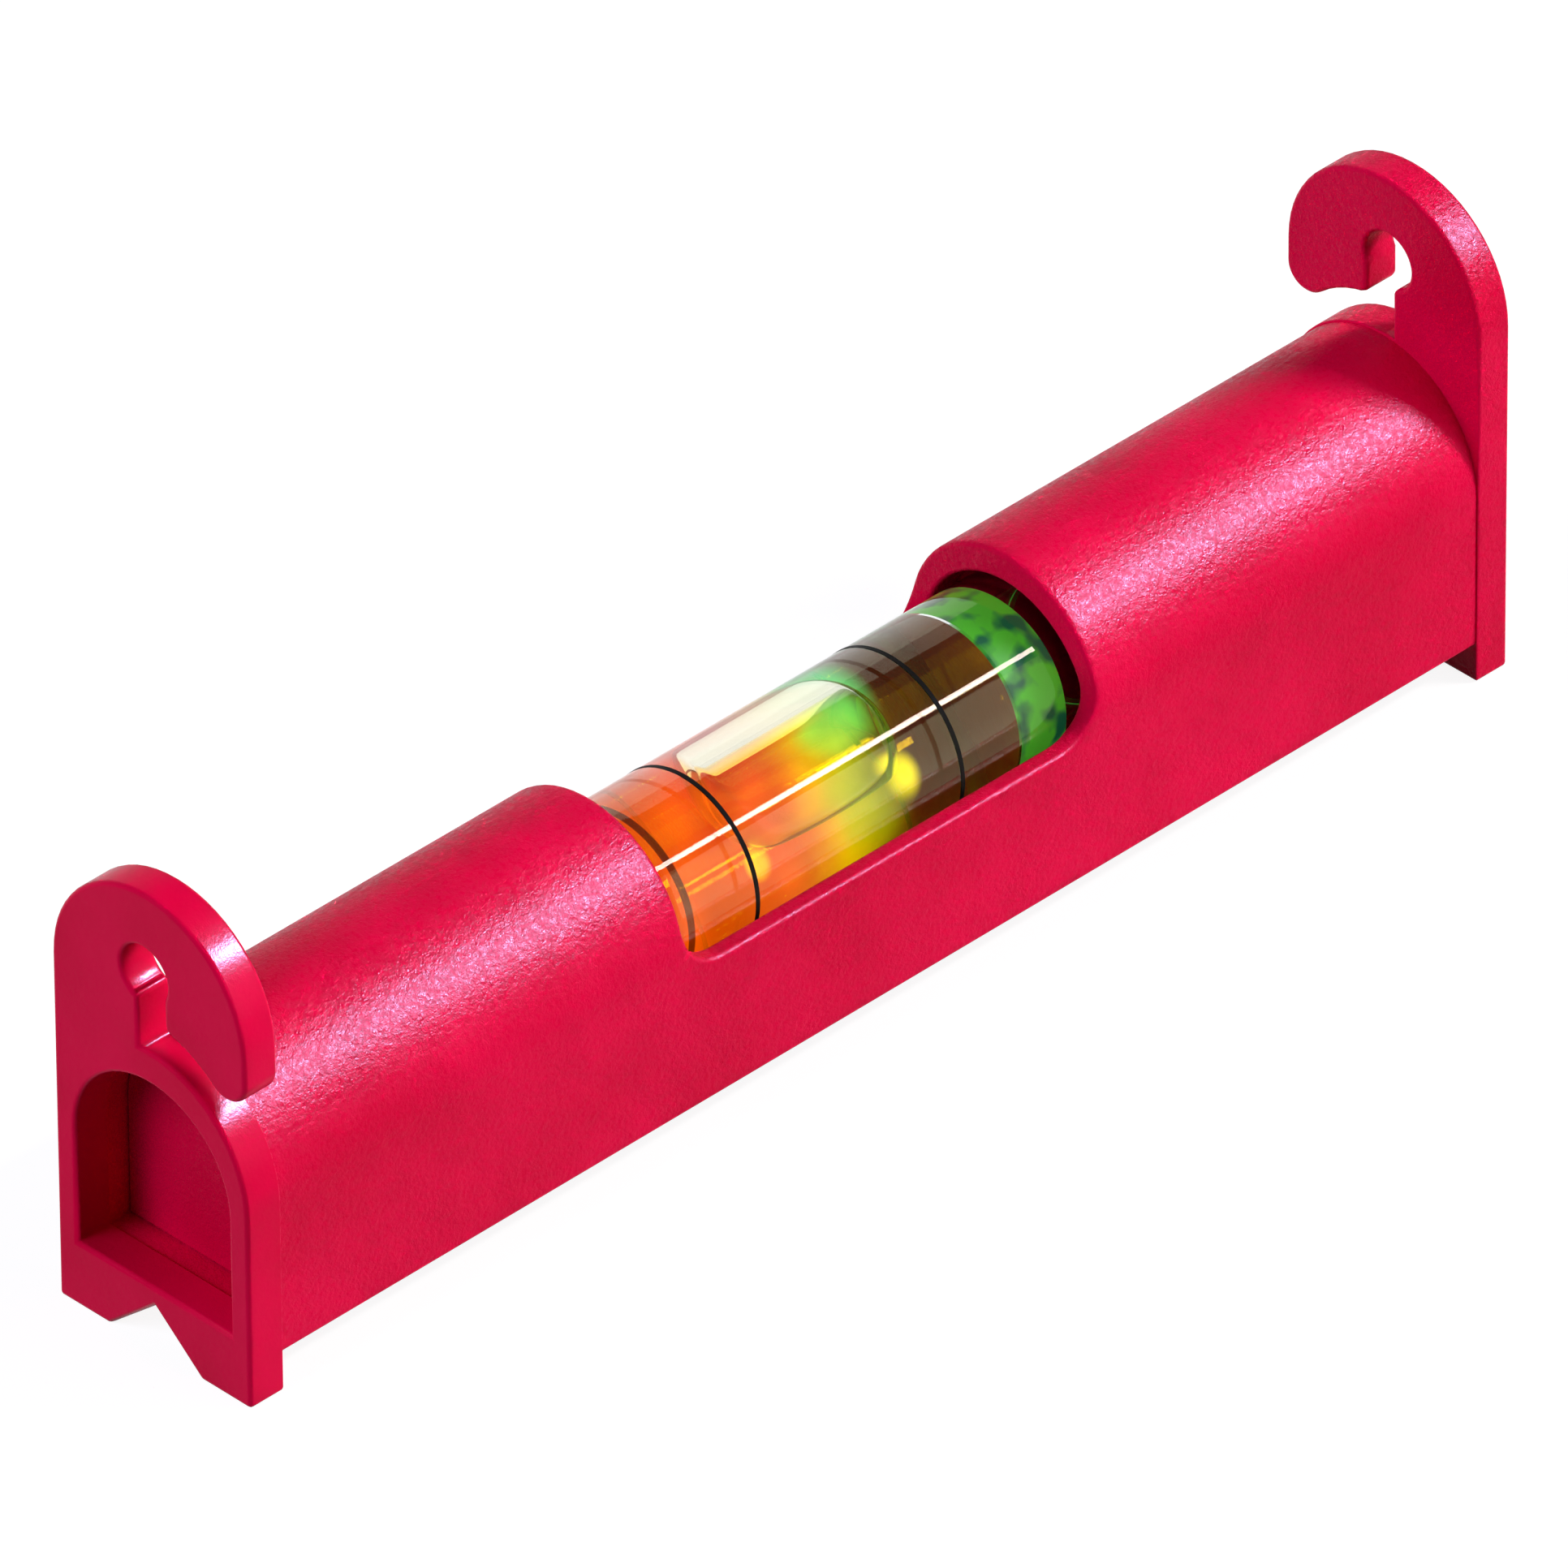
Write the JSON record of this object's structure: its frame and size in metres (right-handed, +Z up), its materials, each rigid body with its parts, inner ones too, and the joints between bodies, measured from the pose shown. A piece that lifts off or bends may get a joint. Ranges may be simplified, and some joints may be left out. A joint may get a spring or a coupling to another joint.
{
  "type": "line level",
  "caption": "Moulded line level with a string hook at each end and a tinted spirit vial in an open window on top.",
  "frame": {"origin": "middle of the level, at the height of the soles of its feet", "axes": "+X along the level towards the end whose hook opens to the back, +Y to the back, +Z up"},
  "size_m": [0.0826, 0.0126, 0.0259],
  "materials": {
    "red_plastic": "moulded polystyrene, semi-gloss, with a fine spark-eroded texture",
    "clear_acrylic": "polished clear acrylic",
    "green_plug": "translucent bright green, bonded behind clear acrylic",
    "spirit": "clear yellow-green liquid",
    "air": "clear air",
    "black_ink": "black ink in a shallow groove"
  },
  "bodies": {
    "level": {"housing": "red_plastic", "end_plug_near": "red_plastic", "end_plug_far": "red_plastic", "vial_barrel": "clear_acrylic", "vial_plug": "green_plug", "vial_liquid": "spirit", "graduation_ring_left": "black_ink", "graduation_ring_right": "black_ink"},
    "bubble": {"air_bubble": "air"}
  },
  "joints": [
    {"name": "bubble_travel", "type": "slide", "parent": "level", "child": "bubble", "axis": [1, 0, 0], "range_m": [-0.0049, 0.0056], "stiffness_N_per_m": 1, "springref_m": 0.00035, "deforming": ["vial_liquid"]}
  ]
}
